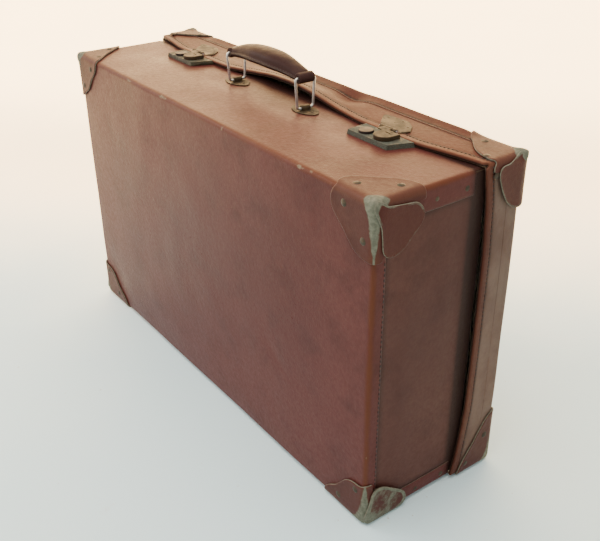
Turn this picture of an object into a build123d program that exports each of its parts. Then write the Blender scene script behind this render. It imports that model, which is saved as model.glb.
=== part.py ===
from build123d import *
import os

# An old leather suitcase, standing on its long hinge side with the handle up.
# X runs along its length, the deep base faces -Y, the shallow lid faces +Y, and Z is up.
# The origin is on the floor, under the middle of the closed case. Millimetres throughout.

# ---- driving dimensions ----
base_length = 610.0
base_height = 368.0
case_depth = 184.0
lip_y = 30.0  # where the lid's lip meets the base
lip_step = 4.6  # how far the lid's walls stand outside the base's
rim_overlap = 14.0  # how far the base's boards run on under the lid

cap_t = 2.4  # corner caps
hide_t = 1.6  # covering leather
flange_t = 0.7  # the wrap's edges turned over the end panels
base_board_t = 3.0
lid_board_t = 2.6
base_lining_t = 0.6
lid_lining_t = 0.4
edge_r = 6.0
cap_reach = 55.0
joint_gap = 0.4  # between the lid and the base along the hinge side

front_flange = 15.0
top_flange = 25.0
bottom_flange = 20.5
lid_seam_y = 72.0  # where the lid's face leather is sewn to its band
binding_w = 8.0
binding_t = 0.8
batten_t = 5.0
batten_w = 14.0

hinge_xs = (-200.0, 0.0, 200.0)
hinge_w = 50.0
hinge_leaf_t = 1.0
hinge_leaf_w = 20.0
hinge_knuckle_r = 2.2
hinge_pin_r = 0.9
hinge_room_z = 12.0  # how far up the boards and linings are cut back for the hinges
running_fit = 0.05

lock_x = 186.0
lock_h = 5.0
lock_back_y = 25.4  # the case stops short of the lip
lock_wall = 0.8
lock_back_t = 0.6
bolt_travel = 6.0
hasp_w = 22.0
hasp_h = 4.2
hasp_plate_t = 1.6
hasp_knuckle_r = 2.2
hasp_pin_r = 0.8
hasp_pivot_y = 26.6
hasp_shift = 1.0  # hasp hinge, from the lock's middle
hasp_nose_shift = 13.0  # hasp's D-shaped end, from the lock's middle
hasp_nose_y = 10.4
hasp_back_y = 21.0  # where its straight sides end
staple_half = 2.0  # the hasp's staple, that the bolt goes through
staple_ys = (9.0, 12.0)
knob_shift = -11.5
knob_y = 8.0
knob_r = 7.8

plate_t = 1.2  # handle plates
handle_x = 5.5  # the handle sits a little off the middle
bail_x = 67.5  # each bail, from the handle's middle
bail_y = 8.0
bail_wire_r = 1.5
bail_foot_w = 21.0
bail_top_w = 25.5
bail_foot_z = 3.5  # above the base's top
bail_top_z = 36.5
bail_bend_r = 3.0
saddle_r = 2.9
saddle_w = 11.0
grip_w = 30.0
grip_strap_w = 18.6
grip_loop_r = 6.0
grip_loop_w = 19.2
grip_leather_t = 3.0
grip_top_z = (42.5, 54.5)  # heights of the grip's arched top above the base, at its ends and middle
grip_under_z = (30.5, 34.5)
grip_seam_z = (33.5, 42.5)

# ---- planes that follow from them ----
floor_z = cap_t
front_y = -case_depth / 2 + cap_t
back_y = case_depth / 2 - cap_t
base_x = base_length / 2 - cap_t
base_top = base_height - cap_t
lid_x = base_x + lip_step
lid_top = base_top + lip_step
rim_y = lip_y + rim_overlap
sides = {"left": -1, "right": 1}
levels = {"bottom": 0, "top": 1}
big = 1000.0  # past the case on every side
parts = {}


def block(x0, x1, y0, y1, z0, z1):
    """An axis-aligned box between two corners."""
    return Pos((x0 + x1) / 2, (y0 + y1) / 2, (z0 + z1) / 2) * Box(x1 - x0, y1 - y0, z1 - z0)


def rounded_block(half_x, y_open, y_closed, z0, z1, radius):
    """A box with every edge rounded, except those round its open face."""
    body = block(-half_x, half_x, min(y_open, y_closed), max(y_open, y_closed), z0, z1)
    edges = body.edges().filter_by(lambda e: abs(e.center().Y - y_open) > 1.0)
    return fillet(edges, radius)


def base_room(depth, y_open):
    """The base's inside, square-edged, at a depth under its outer face."""
    half_x = base_x - depth
    return block(-half_x, half_x, front_y + depth, y_open, floor_z + depth, base_top - depth)


def lid_room(depth, y_open):
    """The lid's inside, square-edged, at a depth under its outer face."""
    half_x = lid_x - depth
    return block(-half_x, half_x, y_open, back_y - depth, floor_z + depth, lid_top - depth)


def base_block(depth, y_open):
    """The base's outer shape, moved inwards by depth and cut off at y_open."""
    return rounded_block(
        base_x - depth, y_open, front_y + depth, floor_z + depth, base_top - depth, max(edge_r - depth, 0.8)
    )


def lid_block(depth, y_open):
    """The lid's outer shape, moved inwards by depth and cut off at y_open."""
    return rounded_block(
        lid_x - depth, y_open, back_y - depth, floor_z + depth, lid_top - depth, max(edge_r - depth, 0.8)
    )


def prism(points, z0, z1, taper=0):
    """A vertical prism over an outline in the XY plane."""
    face = Plane.XY.offset(z0) * make_face(Polyline(*points, close=True))
    return extrude(face, z1 - z0, taper=taper)


def rod(axis, radius, low, high, a, b):
    """A cylinder along X (a, b = y, z) or along Y (a, b = x, z)."""
    middle = (low + high) / 2
    if axis == "x":
        return Pos(middle, a, b) * Rot(0, 90, 0) * Cylinder(radius, high - low)
    return Pos(a, middle, b) * Rot(90, 0, 0) * Cylinder(radius, high - low)


def on_face(point, normal):
    return Plane(origin=point, z_dir=normal).location


def rivet_shank(point, normal, depth, radius=1.2):
    return on_face(point, normal) * Pos(0, 0, -depth / 2) * Cylinder(radius, depth)


def rivet(point, normal, depth, dome=1.1, head_r=3.8):
    """A low domed head standing on a face, and a shank into the work."""
    sphere_r = (head_r**2 + dome**2) / (2 * dome)
    ball = Pos(0, 0, dome - sphere_r) * Sphere(sphere_r)
    head = ball & Pos(0, 0, 5) * Box(20, 20, 10)
    return on_face(point, normal) * head + rivet_shank(point, normal, depth)


# ---- rivet places ----
def cap_rivets(side, level, half_x, y_face, z_top):
    """Two rivets on each visible lobe of a corner cap: face, top and end."""
    near, far = cap_reach * 0.27, cap_reach * 0.76
    y_out = 1 if y_face > 0 else -1
    z_edge = z_top if level == "top" else 0.0
    z_in = -1 if level == "top" else 1
    spots = []
    for a, b in ((near, far), (far, near)):
        spots.append(((side * (half_x - a), y_face, z_edge + z_in * b), (0, y_out, 0)))
        spots.append(((side * half_x, y_face - y_out * a, z_edge + z_in * b), (side, 0, 0)))
        if level == "top":
            spots.append(((side * (half_x - a), y_face - y_out * b, z_top), (0, 0, 1)))
    return spots


base_cap_x = base_x + cap_t
lid_cap_x = lid_x + cap_t
base_spots, lid_spots, flange_spots, stay_spots = [], [], [], []
for side in sides.values():
    for level in levels:
        base_spots += cap_rivets(side, level, base_cap_x, -case_depth / 2, base_height)
        lid_spots += cap_rivets(side, level, lid_cap_x, case_depth / 2, lid_top + cap_t)
    for y in (-18.0, 20.0):
        flange_spots.append(((side * base_x, y, base_top - 15.0), (side, 0, 0)))
        flange_spots.append(((side * base_x, y, floor_z + 9.0), (side, 0, 0)))
    stay_spots.append(((side * lid_x, 58.0, 76.5), (side, 0, 0)))

base_depth = hide_t + base_board_t
lid_depth = hide_t + lid_board_t


# ---- hinges along the bottom: a leaf on each half, riveted, and a pin ----
def hinge_segments(x):
    """Five knuckles: the base's first, third and fifth, the lid's second and fourth."""
    step = hinge_w / 5
    cuts = [(x - hinge_w / 2 + i * step + 0.15, x - hinge_w / 2 + (i + 1) * step - 0.15) for i in range(5)]
    return cuts[0::2], cuts[1::2]


def hinge_leaf(x, out, segments, holes):
    """A leaf under the case that reaches its knuckles; out is -1 for the base and 1 for the lid."""
    clear = hinge_knuckle_r + 0.5
    ys = sorted((lip_y + out * clear, lip_y + out * hinge_leaf_w))
    leaf = block(x - hinge_w / 2, x + hinge_w / 2, ys[0], ys[1], floor_z - hinge_leaf_t, floor_z)
    for x0, x1 in segments:
        reach = sorted((lip_y, lip_y + out * clear))
        leaf += block(x0, x1, reach[0], reach[1], floor_z - hinge_leaf_t, floor_z)
        leaf += rod("x", hinge_knuckle_r, x0, x1, lip_y, floor_z)
    leaf -= rod("x", hinge_pin_r + running_fit, x - hinge_w, x + hinge_w, lip_y, floor_z)
    return leaf - holes


def leaf_rivet_spots(out):
    """Three rivets in each leaf; their heads are flat, and above the floor."""
    spots = []
    for x in hinge_xs:
        for dx in (-17.0, 0.0, 17.0):
            spots.append(((x + dx, lip_y + out * 12.0, floor_z - hinge_leaf_t), (0, 0, -1)))
    return spots


def flat_rivet(point, normal, depth):
    head = on_face(point, normal) * Pos(0, 0, 0.25) * Cylinder(2.4, 0.5)
    return head + rivet_shank(point, normal, depth)


def hinge_pin(x):
    pin = rod("x", hinge_pin_r, x - hinge_w / 2, x + hinge_w / 2, lip_y, floor_z)
    for end in (-1, 1):
        low, high = sorted((x + end * hinge_w / 2, x + end * (hinge_w / 2 + 0.8)))
        pin += rod("x", hinge_knuckle_r - 0.6, low, high, lip_y, floor_z)
    return pin


notch_half = hinge_w / 2 + 1.5
notch_r = hinge_knuckle_r + 0.5
hinge_notches = [rod("x", notch_r, x - notch_half, x + notch_half, lip_y, floor_z) for x in hinge_xs]

# Shanks, one list for each half, so that what they pass through has real holes.
base_leaf_spots, lid_leaf_spots = leaf_rivet_spots(-1), leaf_rivet_spots(1)
base_leaf_depth = hinge_leaf_t + base_depth
lid_leaf_depth = hinge_leaf_t + lid_depth


def upright_spots(middle_x, offsets, z):
    """Rivets through the top, the same on the left and the right; offsets are (from the middle, y)."""
    return [((side * middle_x + dx, y, z), (0, 0, 1)) for side in sides.values() for dx, y in offsets]


lock_rivet_offsets = ((-25.5, 2.0), (28.0, 2.5), (-26.5, 20.0), (33.0, 19.0))
lock_spots = upright_spots(lock_x, lock_rivet_offsets, base_top + lock_back_t)
handle_rivet_offsets = ((handle_x - 13.0, bail_y), (handle_x + 13.0, bail_y))
handle_spots = upright_spots(bail_x, handle_rivet_offsets, base_top + plate_t)
hasp_rivet_offsets = ((-29.0, 53.0), (-9.0, 55.0), (7.0, 47.0))
hasp_plate_spots = upright_spots(lock_x, hasp_rivet_offsets, lid_top + hasp_plate_t)


def shanks(spots, depth):
    return [rivet_shank(p, n, depth) for p, n in spots]


base_shanks = (
    shanks(base_spots, cap_t + base_depth)
    + shanks(flange_spots, base_depth)
    + shanks(base_leaf_spots, base_leaf_depth)
    + shanks(lock_spots, lock_back_t + base_depth)
    + shanks(handle_spots, plate_t + base_depth)
)
lid_shanks = (
    shanks(lid_spots, cap_t + lid_depth)
    + shanks(stay_spots, lid_depth)
    + shanks(lid_leaf_spots, lid_leaf_depth)
    + shanks(hasp_plate_spots, hasp_plate_t + lid_depth)
)


# ---- base: leather over board, lined, with a wooden rim ----
def make_base():
    open_y = lip_y - joint_gap
    hide = base_block(0, open_y) - base_block(hide_t, rim_y + 10)
    for name, side in sides.items():
        inner, outer = side * (base_x - hide_t), side * (base_x - flange_t)
        xs = sorted((inner, outer))
        panel = block(*xs, front_y + edge_r, open_y, floor_z + edge_r, base_top - edge_r)
        xs = sorted((outer, side * (base_x + 1)))
        window = block(*xs, front_y + front_flange, lip_y, floor_z + bottom_flange, base_top - top_flange)
        hide = hide - panel - window
        parts["base_end_leather_" + name] = panel - base_shanks
    parts["base_wrap_leather"] = hide - base_shanks - hinge_notches

    boards = base_block(hide_t, rim_y) - base_room(base_depth, rim_y + 10)
    boards -= block(-base_x, base_x, open_y, rim_y + 1, floor_z, hinge_room_z)
    boards = boards - base_shanks - hinge_notches
    front = boards & block(-big, big, -big, front_y + base_depth, -big, big)
    walls = boards - block(-big, big, -big, front_y + base_depth, -big, big)
    top = block(-big, big, -big, big, base_top - base_depth, big)
    bottom = block(-big, big, -big, big, -big, floor_z + base_depth)
    parts["base_front_board"] = front
    parts["base_top_board"] = walls & top
    parts["base_bottom_board"] = walls & bottom
    for name, side in sides.items():
        half = block(min(0, side * big), max(0, side * big), -big, big, -big, big)
        parts["base_end_board_" + name] = (walls - top - bottom) & half

    lining_y = rim_y - 2.0
    lining = base_room(base_depth, lining_y) - base_room(base_depth + base_lining_t, rim_y + 10)
    lining -= block(-base_x, base_x, open_y, rim_y, floor_z, hinge_room_z)
    parts["base_lining"] = lining


def make_rim_battens():
    """Four wooden strips inside the base's mouth; the lower one stops short of the lid."""
    inset = base_depth + base_lining_t
    x_out = base_x - inset
    z_low, z_high = floor_z + inset, base_top - inset
    y0, y1 = rim_y - 4.0 - batten_w, rim_y - 4.0
    low_y1 = lip_y - 1.0
    parts["rim_batten_top"] = block(-x_out, x_out, y0, y1, z_high - batten_t, z_high)
    parts["rim_batten_bottom"] = block(-x_out, x_out, low_y1 - batten_w, low_y1, z_low, z_low + batten_t)
    for name, side in sides.items():
        xs = sorted((side * x_out, side * (x_out - batten_t)))
        parts["rim_batten_" + name] = block(xs[0], xs[1], y0, y1, z_low + batten_t + 2, z_high - batten_t)


# ---- lid: face and band leather over board, with a bound lip ----
def make_lid():
    open_y = lip_y
    hinge_y = lip_y + joint_gap
    low = block(-big, big, lip_y - 1, hinge_y, -big, hinge_room_z)
    hide = lid_block(0, open_y) - lid_block(hide_t, open_y - 20) - low
    hide = hide - lid_shanks - hinge_notches
    behind_seam = block(-big, big, lid_seam_y, big, -big, big)
    parts["lid_face_leather"] = hide & behind_seam
    parts["lid_band_leather"] = hide - behind_seam

    boards = lid_block(hide_t, open_y) - lid_room(lid_depth, open_y - 20) - low
    boards = boards - lid_shanks - hinge_notches
    back = block(-big, big, back_y - lid_depth, big, -big, big)
    walls = boards - back
    top = block(-big, big, -big, big, lid_top - lid_depth, big)
    bottom = block(-big, big, -big, big, -big, floor_z + lid_depth)
    parts["lid_face_board"] = boards & back
    parts["lid_top_board"] = walls & top
    parts["lid_bottom_board"] = walls & bottom
    for name, side in sides.items():
        half = block(min(0, side * big), max(0, side * big), -big, big, -big, big)
        parts["lid_end_board_" + name] = (walls - top - bottom) & half
    lining = lid_room(lid_depth, lip_y + 1) - lid_room(lid_depth + lid_lining_t, open_y - 20)
    parts["lid_lining"] = lining - hinge_notches


def lid_binding(caps):
    """A strip folded round the lip, along the top and both ends, up to the caps."""
    ring = lid_block(-binding_t, lip_y) & block(-big, big, lip_y, lip_y + binding_w, floor_z + 18, big)
    ring -= lid_block(0, lip_y - 20)
    for cap in caps:
        ring -= cap
    for side in sides.values():
        ring -= prism(hasp_plate_outline(side * lock_x), lid_top, lid_top + 5)
    return ring


# ---- corner caps: three lobes of thick hide over each corner ----
def make_caps():
    base_shell = base_block(-cap_t, lip_y) - base_block(0, lip_y + 20)
    lid_shell = lid_block(-cap_t, lip_y + 1.0) - lid_block(0, lip_y - 20)
    hinge_side = block(-big, big, 0, lip_y + 3.0, -big, floor_z)
    lid_caps = []
    for name, side in sides.items():
        for level, up in levels.items():
            vertex = (side * base_cap_x, -case_depth / 2, up * base_height)
            cap = base_shell & Pos(*vertex) * Sphere(cap_reach)
            parts["base_cap_{}_{}".format(level, name)] = cap - shanks(base_spots, cap_t + base_depth)
            vertex = (side * lid_cap_x, case_depth / 2, up * (lid_top + cap_t))
            cap = (lid_shell & Pos(*vertex) * Sphere(cap_reach)) - hinge_side
            lid_caps.append(cap)
            parts["lid_cap_{}_{}".format(level, name)] = cap - shanks(lid_spots, cap_t + lid_depth)
    parts["lid_lip_binding"] = lid_binding(lid_caps)


# ---- rivets, one node for each half ----
def make_rivets():
    group = [rivet(p, n, cap_t + base_depth) for p, n in base_spots]
    group += [rivet(p, n, base_depth, 0.9, 3.0) for p, n in flange_spots]
    group += [flat_rivet(p, n, base_leaf_depth) for p, n in base_leaf_spots]
    group += [flat_rivet(p, n, lock_back_t + base_depth) for p, n in lock_spots]
    group += [rivet(p, n, plate_t + base_depth, 0.7, 2.0) for p, n in handle_spots]
    parts["base_rivets"] = Compound(children=group)
    group = [rivet(p, n, cap_t + lid_depth) for p, n in lid_spots]
    group += [rivet(p, n, lid_depth, 0.8, 2.0) for p, n in stay_spots]
    group += [flat_rivet(p, n, lid_leaf_depth) for p, n in lid_leaf_spots]
    group += [rivet(p, n, hasp_plate_t + lid_depth, 0.5, 1.7) for p, n in hasp_plate_spots]
    parts["lid_rivets"] = Compound(children=group)


def make_hinges():
    base_holes = shanks(base_leaf_spots, base_leaf_depth)
    lid_holes = shanks(lid_leaf_spots, lid_leaf_depth)
    base_leaves, lid_leaves = [], []
    for x in hinge_xs:
        base_segments, lid_segments = hinge_segments(x)
        base_leaves.append(hinge_leaf(x, -1, base_segments, base_holes))
        lid_leaves.append(hinge_leaf(x, 1, lid_segments, lid_holes))
    parts["hinge_base_leaves"] = Compound(children=base_leaves)
    parts["hinge_lid_leaves"] = Compound(children=lid_leaves)
    parts["hinge_pins"] = Compound(children=[hinge_pin(x) for x in hinge_xs])


# ---- locks: a hollow case with a sliding bolt, and a hasp hinged on the lid ----
def lock_outline(x, inset=0.0):
    """The case's outline: square to the near edge on the left, splayed on the right."""
    return [
        (x - 30 + inset, -2 + inset),
        (x + 30 - inset, -2 + inset),
        (x + 41 - inset, lock_back_y - inset),
        (x - 32 + inset, lock_back_y - inset),
    ]


def hasp_plate_outline(x):
    """A skewed plate, straight along the lip."""
    outline = ((-12, lip_y), (14, lip_y), (17, 41), (8, 52), (-5, 60), (-36, 58), (-38, 54), (-23, 37))
    return [(x + dx, y) for dx, y in outline]


def make_lock(name, x):
    top_z = base_top + lock_h
    shell = prism(lock_outline(x), base_top, top_z, taper=10)
    shell -= prism(lock_outline(x, lock_wall), base_top, top_z - lock_wall, taper=10)
    knob_x, staple_x = x + knob_shift, x + hasp_nose_shift
    stem_r = 1.5
    slot = stem_r + 0.3
    slot_ys = (knob_y - slot, knob_y + slot)
    shell -= block(knob_x - bolt_travel - slot, knob_x + slot, *slot_ys, top_z - 2, top_z + 1)
    shell -= block(staple_x - 3, staple_x + 3, staple_ys[0] - 2, lip_y, base_top + lock_back_t, top_z + 1)
    parts["lock_case_" + name] = shell

    back = prism(lock_outline(x, lock_wall + 0.3), base_top, base_top + lock_back_t)
    parts["lock_back_plate_" + name] = back - base_shanks

    bolt_low, bolt_high = base_top + 1.3, base_top + 3.3
    bolt = block(x - 21, x - 4, 3, 15, bolt_low, bolt_high)
    bolt += block(x - 4, staple_x - staple_half - 0.3, *staple_ys, bolt_low, bolt_high)
    parts["lock_bolt_" + name] = bolt

    knob_low, knob_high = top_z + 0.2, top_z + 2.6
    knob = Pos(knob_x, knob_y, (knob_low + knob_high) / 2) * Cylinder(knob_r, knob_high - knob_low)
    knob = fillet(knob.edges().sort_by(Axis.Z)[-1:], 0.8)
    stem_top = knob_low + 0.3
    knob += Pos(knob_x, knob_y, (bolt_high + stem_top) / 2) * Cylinder(stem_r, stem_top - bolt_high)
    parts["lock_knob_" + name] = knob

    strip_x, strip_y, strip_t = x - 22, 17.5, 0.5
    strip = block(strip_x, x + 2, strip_y, strip_y + strip_t, bolt_low, bolt_high)
    strip += block(strip_x, strip_x + strip_t, strip_y, strip_y + 5, bolt_low - 0.4, bolt_high)
    parts["lock_spring_" + name] = strip


def make_hasp(name, x):
    pivot_z = lid_top + 3.0
    hinge_x = x + hasp_shift
    nose_x = x + hasp_nose_shift
    low_z = base_top + lock_h + 0.3
    high_z = low_z + hasp_h

    plate = prism(hasp_plate_outline(x), lid_top, lid_top + hasp_plate_t)
    plate = chamfer(plate.edges().group_by(Axis.Z)[-1], 0.6)
    for x0, x1 in ((hinge_x - 12, hinge_x - 6.2), (hinge_x + 6.2, hinge_x + 12)):
        plate += block(x0, x1, hasp_pivot_y, lip_y + 1, lid_top + 0.8, lid_top + hasp_plate_t)
        plate += rod("x", hasp_knuckle_r, x0, x1, hasp_pivot_y, pivot_z)
    plate -= rod("x", hasp_pin_r + running_fit, hinge_x - 20, hinge_x + 20, hasp_pivot_y, pivot_z)
    parts["hasp_plate_" + name] = plate - shanks(hasp_plate_spots, hasp_plate_t + lid_depth)

    def nose(inset, z0, z1):
        radius = hasp_w / 2 - inset
        head = Pos(nose_x, hasp_nose_y, (z0 + z1) / 2) * Cylinder(radius, z1 - z0)
        return head + block(nose_x - radius, nose_x + radius, hasp_nose_y, hasp_back_y - inset, z0, z1)

    hasp = nose(0, low_z, high_z)
    hasp = fillet(hasp.edges().group_by(Axis.Z)[-1], 0.8)
    hasp -= nose(1.0, low_z - 1, high_z - 1.0)
    hasp += block(nose_x - staple_half, nose_x + staple_half, *staple_ys, base_top + 1.0, high_z - 0.5)
    hasp -= rod("x", 0.6, nose_x - 3, nose_x + 3, sum(staple_ys) / 2, base_top + 2.0)
    hasp -= block(nose_x - 3.5, nose_x + 3.5, hasp_nose_y + 3.4, hasp_nose_y + 4.8, high_z - 2, high_z + 1)
    hasp += block(hinge_x - 6, hinge_x + 6, hasp_back_y - 2, hasp_pivot_y, high_z - 1.4, high_z - 0.2)
    hasp += block(hinge_x - 6, nose_x, hasp_back_y - 4, hasp_back_y, high_z - 1.4, high_z - 0.2)
    hasp += rod("x", hasp_knuckle_r, hinge_x - 6, hinge_x + 6, hasp_pivot_y, pivot_z)
    hasp -= rod("x", hasp_pin_r + running_fit, hinge_x - 6.1, hinge_x + 6.1, hasp_pivot_y, pivot_z)
    parts["hasp_" + name] = hasp

    pin = rod("x", hasp_pin_r, hinge_x - 12, hinge_x + 12, hasp_pivot_y, pivot_z)
    for x0 in (hinge_x - 12.7, hinge_x + 12):
        pin += rod("x", 1.5, x0, x0 + 0.7, hasp_pivot_y, pivot_z)
    parts["hasp_pin_" + name] = pin


# ---- handle: two wire bails in riveted plates, and a stuffed leather grip ----
def make_handle_plate(name, x):
    quarter = [(5, 12), (13, 9), (20, 3)]
    outline = quarter + [(a, -b) for a, b in reversed(quarter)]
    outline += [(-a, -b) for a, b in outline]
    plate = prism([(x + a, bail_y + b) for a, b in outline], base_top, base_top + plate_t)
    bar_z = base_top + bail_foot_z
    y0, y1 = bail_y - saddle_w / 2, bail_y + saddle_w / 2
    plate += rod("y", saddle_r, y0, y1, x, bar_z)
    plate += block(x - saddle_r, x + saddle_r, y0, y1, base_top, bar_z)
    plate -= rod("y", bail_wire_r + running_fit, y0 - 1, y1 + 1, x, bar_z)
    parts["handle_plate_" + name] = plate - base_shanks


def make_bail(name, x):
    """A closed wire loop in a YZ plane, wider at the grip than at the plate."""
    foot, top = bail_foot_w / 2, bail_top_w / 2
    z0, z1 = base_top + bail_foot_z, base_top + bail_top_z
    corners = [(x, bail_y - foot, z0), (x, bail_y + foot, z0), (x, bail_y + top, z1), (x, bail_y - top, z1)]
    path = FilletPolyline(*corners, radius=bail_bend_r, close=True)
    start = Plane(origin=path @ 0, z_dir=path % 0)
    parts["bail_" + name] = sweep(start * Circle(bail_wire_r), path=path)


def arch(half, z_end, z_mid, z_floor):
    """The area under an arc, in the XZ plane, down to z_floor."""
    curve = ThreePointArc((-half, z_end), (0, z_mid), (half, z_end))
    outline = curve + Polyline((half, z_end), (half, z_floor), (-half, z_floor), (-half, z_end))
    face = Plane.XZ * make_face(outline)
    return Pos(0, 40, 0) * extrude(face, 80)


def grip_body(inset, half):
    """The grip's arched, hand-thick middle and narrower ends, without the loops."""
    z = base_top
    tops = [z + height - inset for height in grip_top_z]
    unders = [z + height + inset for height in grip_under_z]
    body = arch(half, *tops, z) - arch(half, *unders, z)
    wide, strap = grip_w / 2 - inset, grip_strap_w / 2 - inset
    plan = [(half, strap), (50, strap), (36, wide), (-36, wide), (-50, strap), (-half, strap)]
    plan += [(-px, -py) for px, py in plan]
    plan = [(px, py + bail_y) for px, py in plan]
    return body & prism(plan, z, big)


def make_grip():
    z = base_top + bail_top_z
    body = grip_body(0, bail_x)
    core = grip_body(grip_leather_t, 54.0)
    y0, y1 = bail_y - grip_loop_w / 2, bail_y + grip_loop_w / 2
    for side in sides.values():
        body += rod("y", grip_loop_r, y0, y1, side * bail_x, z)
    hollow = body - core
    for x, fit in ((-bail_x, 0.08), (bail_x, 0.3)):
        hollow -= rod("y", bail_wire_r + fit, y0 - 5, y1 + 5, x, z)
    seam = arch(90, *[base_top + height for height in grip_seam_z], base_top)
    middle = Pos(handle_x, 0, 0)
    parts["grip_upper_leather"] = middle * (hollow - seam)
    parts["grip_lower_leather"] = middle * (hollow & seam)
    parts["grip_core"] = middle * core


def main():
    make_base()
    make_rim_battens()
    make_lid()
    make_caps()
    make_rivets()
    make_hinges()
    for name, side in sides.items():
        make_lock(name, side * lock_x)
        make_hasp(name, side * lock_x)
        make_handle_plate(name, handle_x + side * bail_x)
        make_bail(name, handle_x + side * bail_x)
    make_grip()
    os.makedirs("parts", exist_ok=True)
    for name, shape in parts.items():
        export_step(shape, "parts/" + name + ".step")
    print(len(parts), "nodes")


main()
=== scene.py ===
import bpy
from math import ceil, copysign, cos, exp, hypot, pi, radians, sin, sqrt
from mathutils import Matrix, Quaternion, Vector, noise


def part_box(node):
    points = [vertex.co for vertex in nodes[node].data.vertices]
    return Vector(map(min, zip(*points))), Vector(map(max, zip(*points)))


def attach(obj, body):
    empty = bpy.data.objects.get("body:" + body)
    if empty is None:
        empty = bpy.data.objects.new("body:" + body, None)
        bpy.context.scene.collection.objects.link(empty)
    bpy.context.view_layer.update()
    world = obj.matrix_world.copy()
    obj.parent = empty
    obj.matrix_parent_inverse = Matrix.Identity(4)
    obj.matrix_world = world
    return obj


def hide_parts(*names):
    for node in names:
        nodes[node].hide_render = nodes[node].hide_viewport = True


# An old leather suitcase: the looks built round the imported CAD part.
# Shapes are worked out in millimetres in the part's own frame and turned into metres by build().

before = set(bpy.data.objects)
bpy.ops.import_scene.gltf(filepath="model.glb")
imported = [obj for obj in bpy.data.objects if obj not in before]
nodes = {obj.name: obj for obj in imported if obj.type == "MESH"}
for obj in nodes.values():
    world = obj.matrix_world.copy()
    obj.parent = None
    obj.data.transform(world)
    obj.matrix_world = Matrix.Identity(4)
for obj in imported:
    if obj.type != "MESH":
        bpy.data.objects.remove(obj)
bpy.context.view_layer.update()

MM = 0.001


def box_mm(node):
    low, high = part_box(node)
    return low / MM, high / MM


wrap_low, wrap_high = box_mm("base_wrap_leather")
lid_low, lid_high = box_mm("lid_face_leather")
LIP_Y = box_mm("lid_band_leather")[0].y
SEAM_Y = lid_low.y
CAP_T = box_mm("base_cap_top_right")[1].x - wrap_high.x
FLOOR_Z, BASE_TOP, LID_TOP = wrap_low.z, wrap_high.z, lid_high.z
BASE_X, LID_X = wrap_high.x, lid_high.x
FRONT_Y, BACK_Y = wrap_low.y, lid_high.y
MID_Z, HALF_Z = (FLOOR_Z + BASE_TOP) / 2, (BASE_TOP - FLOOR_Z) / 2
EDGE_R = 4.5
HIDE_T, BINDING_T = 1.5, 0.7
CAP_REACH = 48.0  # the caps cover each corner about this far
RIM_Y = LIP_Y + 16.0  # where the base's hide ends, under the lid
FRONT_FLANGE, TOP_FLANGE, BOTTOM_FLANGE = 15.0, 25.0, 20.5
TOP_FLANGE_END, BOTTOM_FLANGE_END = LIP_Y + 1.0, LIP_Y + 3.0
HINGE_CLEAR = 3.2  # the gap along the underside where the hinges are
SIDES = {"left": -1, "right": 1}
ENDS = tuple(SIDES)
ALL_SHEETS = ("closed", "top", "bottom", *ENDS)
LIP_STITCH_Y, SEAM_STITCH_Y = LIP_Y + 7.2, SEAM_Y + 1.6
BASE_STITCH_Y = FRONT_Y + 13.0


# -------- small helpers
def fade(t):
    t = min(max(t, 0.0), 1.0)
    return t * t * (3 - 2 * t)


def at(table, x):
    """The value at x of a list of (x, value) points joined by straight lines."""
    if x <= table[0][0]:
        return table[0][1]
    for (x0, v0), (x1, v1) in zip(table, table[1:]):
        if x <= x1:
            return v0 + (v1 - v0) * (x - x0) / (x1 - x0)
    return table[-1][1]


def soft_at(table, x, width):
    """The same, averaged over a width, so that it has no kinks."""
    steps = (-1.0, -0.6, -0.2, 0.2, 0.6, 1.0)
    return sum(at(table, x + s * width) for s in steps) / len(steps)


def wobble(p, size, seed):
    """Smooth noise between about -1 and 1, in lumps of a size."""
    return noise.noise(Vector((p.x / size + seed, p.y / size - seed, p.z / size + 2 * seed)))


def hump(x, middle, width):
    return exp(-(((x - middle) / width) ** 2))


def rub(a, b, reach, level=1.0):
    """Wear near an edge, from the distances to the two faces that meet there."""
    return fade(level - hypot(a, b) / reach)


def spread(stops, step):
    """Values from the first stop to the last, through every stop, no further apart than step."""
    stops = sorted(set(round(s, 4) for s in stops))
    values = [stops[0]]
    for a, b in zip(stops, stops[1:]):
        count = max(1, ceil((b - a) / step))
        values += [a + (b - a) * (i + 1) / count for i in range(count)]
    return values


def away_from(p, boxes, reach):
    """0 on any of the metalwork's footprints, 1 from reach outwards."""
    clear = 1.0
    for low, high in boxes:
        dx = max(low.x - p.x, p.x - high.x, 0.0)
        dy = max(low.y - p.y, p.y - high.y, 0.0)
        clear = min(clear, fade(hypot(dx, dy) / reach))
    return clear


# -------- how the old case has gone out of shape
base_metal = [box_mm(n + s) for n in ("lock_case_", "handle_plate_") for s in SIDES]
lid_metal = [box_mm("hasp_plate_" + s) for s in SIDES]

# the lid's lip along the top: how far it has lifted, and how far it is pulled over the base
LIP_LIFT = [
    (-155, 0), (-112, 0), (-74, 2), (-33, 6), (0, 6.8), (22, 6.4), (55, 4), (86, 0.4), (110, 0), (320, 0),
]
LIP_PULL = [
    (-302, 9), (-272, 4), (-254, 0.4), (-242, -2.3), (-228, -4.4), (-150, -4.4), (-130, -4.2), (-108, -3),
    (-74, 4), (-33, 7), (16, 7), (61, 5), (83, 3.5), (104, 1), (125, -2), (143, -4.4), (227, -4.4), (238, -2.3),
    (250, 0.4), (268, 4), (298, 9),
]
# the lid's lip down the ends: how far it has bowed back from the base
LIP_BOW = [
    (0, 0), (8, 2.4), (22, 5), (40, 8), (63, 10.5), (90, 12.5), (184, 14.5), (300, 14.5), (329, 14), (343, 12),
    (364, 9.5), (372, 9),
]


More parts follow.
